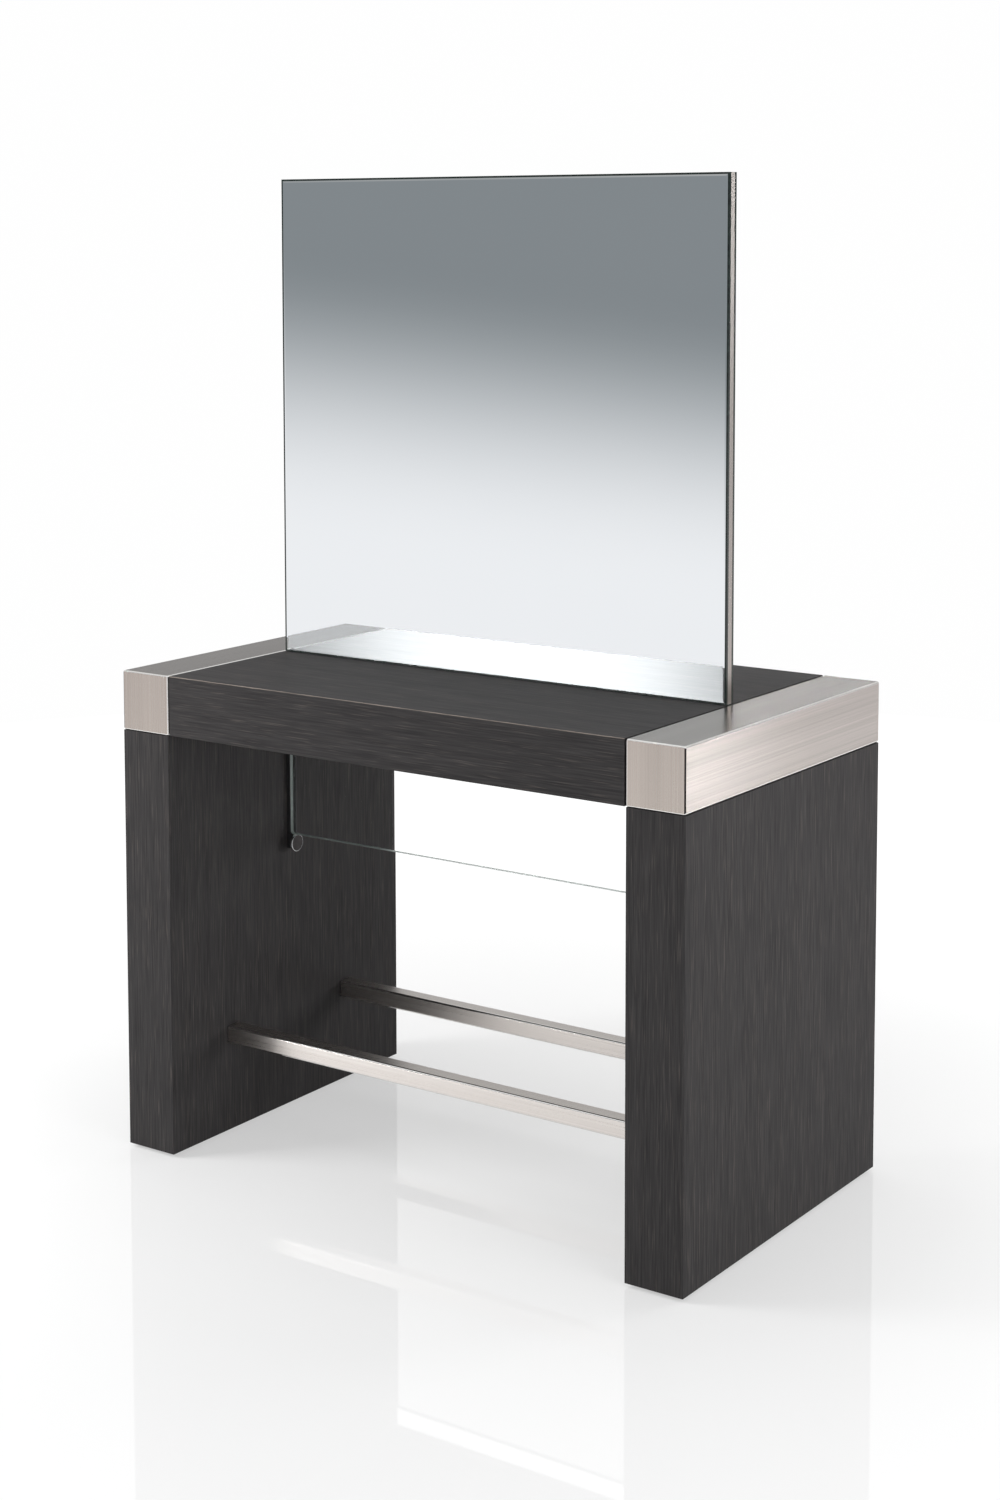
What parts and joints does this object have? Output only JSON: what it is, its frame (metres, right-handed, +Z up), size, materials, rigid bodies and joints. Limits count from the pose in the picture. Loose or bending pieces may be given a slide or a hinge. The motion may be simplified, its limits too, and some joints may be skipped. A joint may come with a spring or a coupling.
{
  "type": "double sided salon styling station",
  "caption": "Freestanding salon styling station for use from both sides: a worktop on slab legs with box beams, a standing mirror, footrest bars and levelling feet.",
  "frame": {"origin": "on the floor, at the centre of the footprint", "axes": "+Z up, +X along the mirror to the right, -Y towards the front side"},
  "size_m": [1.09, 0.62, 1.64],
  "materials": {
    "stained_veneer": "black stained oak veneer, open straight grain, satin lacquer",
    "core_timber": "plain planed softwood, inside",
    "black_plate": "black powder coated steel plate",
    "brushed_beam": "brushed stainless steel, fine straight grain",
    "brushed_trim": "brushed stainless steel strip",
    "black_profile": "matt black anodised profile",
    "chrome": "polished chrome",
    "mirror": "silvered mirror glass with polished edges",
    "clear_glass": "clear float glass with polished edges",
    "zinc_fixing": "bright zinc plated steel",
    "black_rubber": "matt black rubber",
    "foam_tape": "pale foam mounting tape",
    "clear_nylon": "natural nylon",
    "black_plastic": "matt black moulded nylon",
    "foot_nylon": "black moulded nylon glide"
  },
  "bodies": {
    "station": {"left_leg_inner_panel": "stained_veneer", "left_leg_outer_panel": "stained_veneer", "left_leg_front_panel": "stained_veneer", "left_leg_rear_panel": "stained_veneer", "left_leg_top_block": "core_timber", "left_leg_footrest_rail": "core_timber", "left_leg_bottom_block": "core_timber", "left_base_plate": "black_plate", "left_beam_tube": "brushed_beam", "left_beam_front_plate": "brushed_beam", "left_beam_rear_plate": "brushed_beam", "left_mirror_trim": "brushed_trim", "left_glazing_profile": "black_profile", "left_support_stud": "chrome", "right_leg_inner_panel": "stained_veneer", "right_leg_outer_panel": "stained_veneer", "right_leg_front_panel": "stained_veneer", "right_leg_rear_panel": "stained_veneer", "right_leg_top_block": "core_timber", "right_leg_footrest_rail": "core_timber", "right_leg_bottom_block": "core_timber", "right_base_plate": "black_plate", "right_beam_tube": "brushed_beam", "right_beam_front_plate": "brushed_beam", "right_beam_rear_plate": "brushed_beam", "right_mirror_trim": "brushed_trim", "right_glazing_profile": "black_profile", "right_support_stud": "chrome", "front_top_panel": "stained_veneer", "front_bottom_panel": "stained_veneer", "front_edge_panel": "stained_veneer", "front_slot_panel": "stained_veneer", "front_mirror": "mirror", "front_footrest": "brushed_beam", "rear_top_panel": "stained_veneer", "rear_bottom_panel": "stained_veneer", "rear_edge_panel": "stained_veneer", "rear_slot_panel": "stained_veneer", "rear_mirror": "mirror", "rear_footrest": "brushed_beam", "core_glass": "clear_glass", "leveller_sleeves": "zinc_fixing", "beam_bolts": "zinc_fixing", "top_bolts": "zinc_fixing", "top_ribs": "core_timber", "top_spacers": "black_rubber", "bonding_tapes": "foam_tape", "slot_gaskets": "black_rubber", "glazing_screws": "zinc_fixing", "setting_pads": "clear_nylon", "footrest_sockets": "black_plastic", "footrest_screws": "zinc_fixing"},
    "front_left_foot_pad": {"front_left_foot_pad": "foot_nylon"},
    "front_left_foot_stem": {"front_left_foot_stem": "zinc_fixing"},
    "rear_left_foot_pad": {"rear_left_foot_pad": "foot_nylon"},
    "rear_left_foot_stem": {"rear_left_foot_stem": "zinc_fixing"},
    "front_right_foot_pad": {"front_right_foot_pad": "foot_nylon"},
    "front_right_foot_stem": {"front_right_foot_stem": "zinc_fixing"},
    "rear_right_foot_pad": {"rear_right_foot_pad": "foot_nylon"},
    "rear_right_foot_stem": {"rear_right_foot_stem": "zinc_fixing"}
  },
  "joints": [
    {"name": "front_left_foot_lift", "type": "slide", "parent": "station", "child": "front_left_foot_pad", "axis": [0, 0, -1], "range_m": [0, 0.012]},
    {"name": "front_left_foot_turn", "type": "hinge", "parent": "front_left_foot_pad", "child": "front_left_foot_stem", "pos_m": [-0.495, -0.25, 0.0026], "axis": [0, 0, 1], "range_deg": [0, 2880]},
    {"name": "rear_left_foot_lift", "type": "slide", "parent": "station", "child": "rear_left_foot_pad", "axis": [0, 0, -1], "range_m": [0, 0.012]},
    {"name": "rear_left_foot_turn", "type": "hinge", "parent": "rear_left_foot_pad", "child": "rear_left_foot_stem", "pos_m": [-0.495, 0.25, 0.0026], "axis": [0, 0, 1], "range_deg": [0, 2880]},
    {"name": "front_right_foot_lift", "type": "slide", "parent": "station", "child": "front_right_foot_pad", "axis": [0, 0, -1], "range_m": [0, 0.012]},
    {"name": "front_right_foot_turn", "type": "hinge", "parent": "front_right_foot_pad", "child": "front_right_foot_stem", "pos_m": [0.495, -0.25, 0.0026], "axis": [0, 0, 1], "range_deg": [0, 2880]},
    {"name": "rear_right_foot_lift", "type": "slide", "parent": "station", "child": "rear_right_foot_pad", "axis": [0, 0, -1], "range_m": [0, 0.012]},
    {"name": "rear_right_foot_turn", "type": "hinge", "parent": "rear_right_foot_pad", "child": "rear_right_foot_stem", "pos_m": [0.495, 0.25, 0.0026], "axis": [0, 0, 1], "range_deg": [0, 2880]}
  ],
  "couplings": [
    {"joint": "front_left_foot_turn", "follows": "front_left_foot_lift", "rad_per_m": 4188.8},
    {"joint": "rear_left_foot_turn", "follows": "rear_left_foot_lift", "rad_per_m": 4188.8},
    {"joint": "front_right_foot_turn", "follows": "front_right_foot_lift", "rad_per_m": 4188.8},
    {"joint": "rear_right_foot_turn", "follows": "rear_right_foot_lift", "rad_per_m": 4188.8}
  ]
}
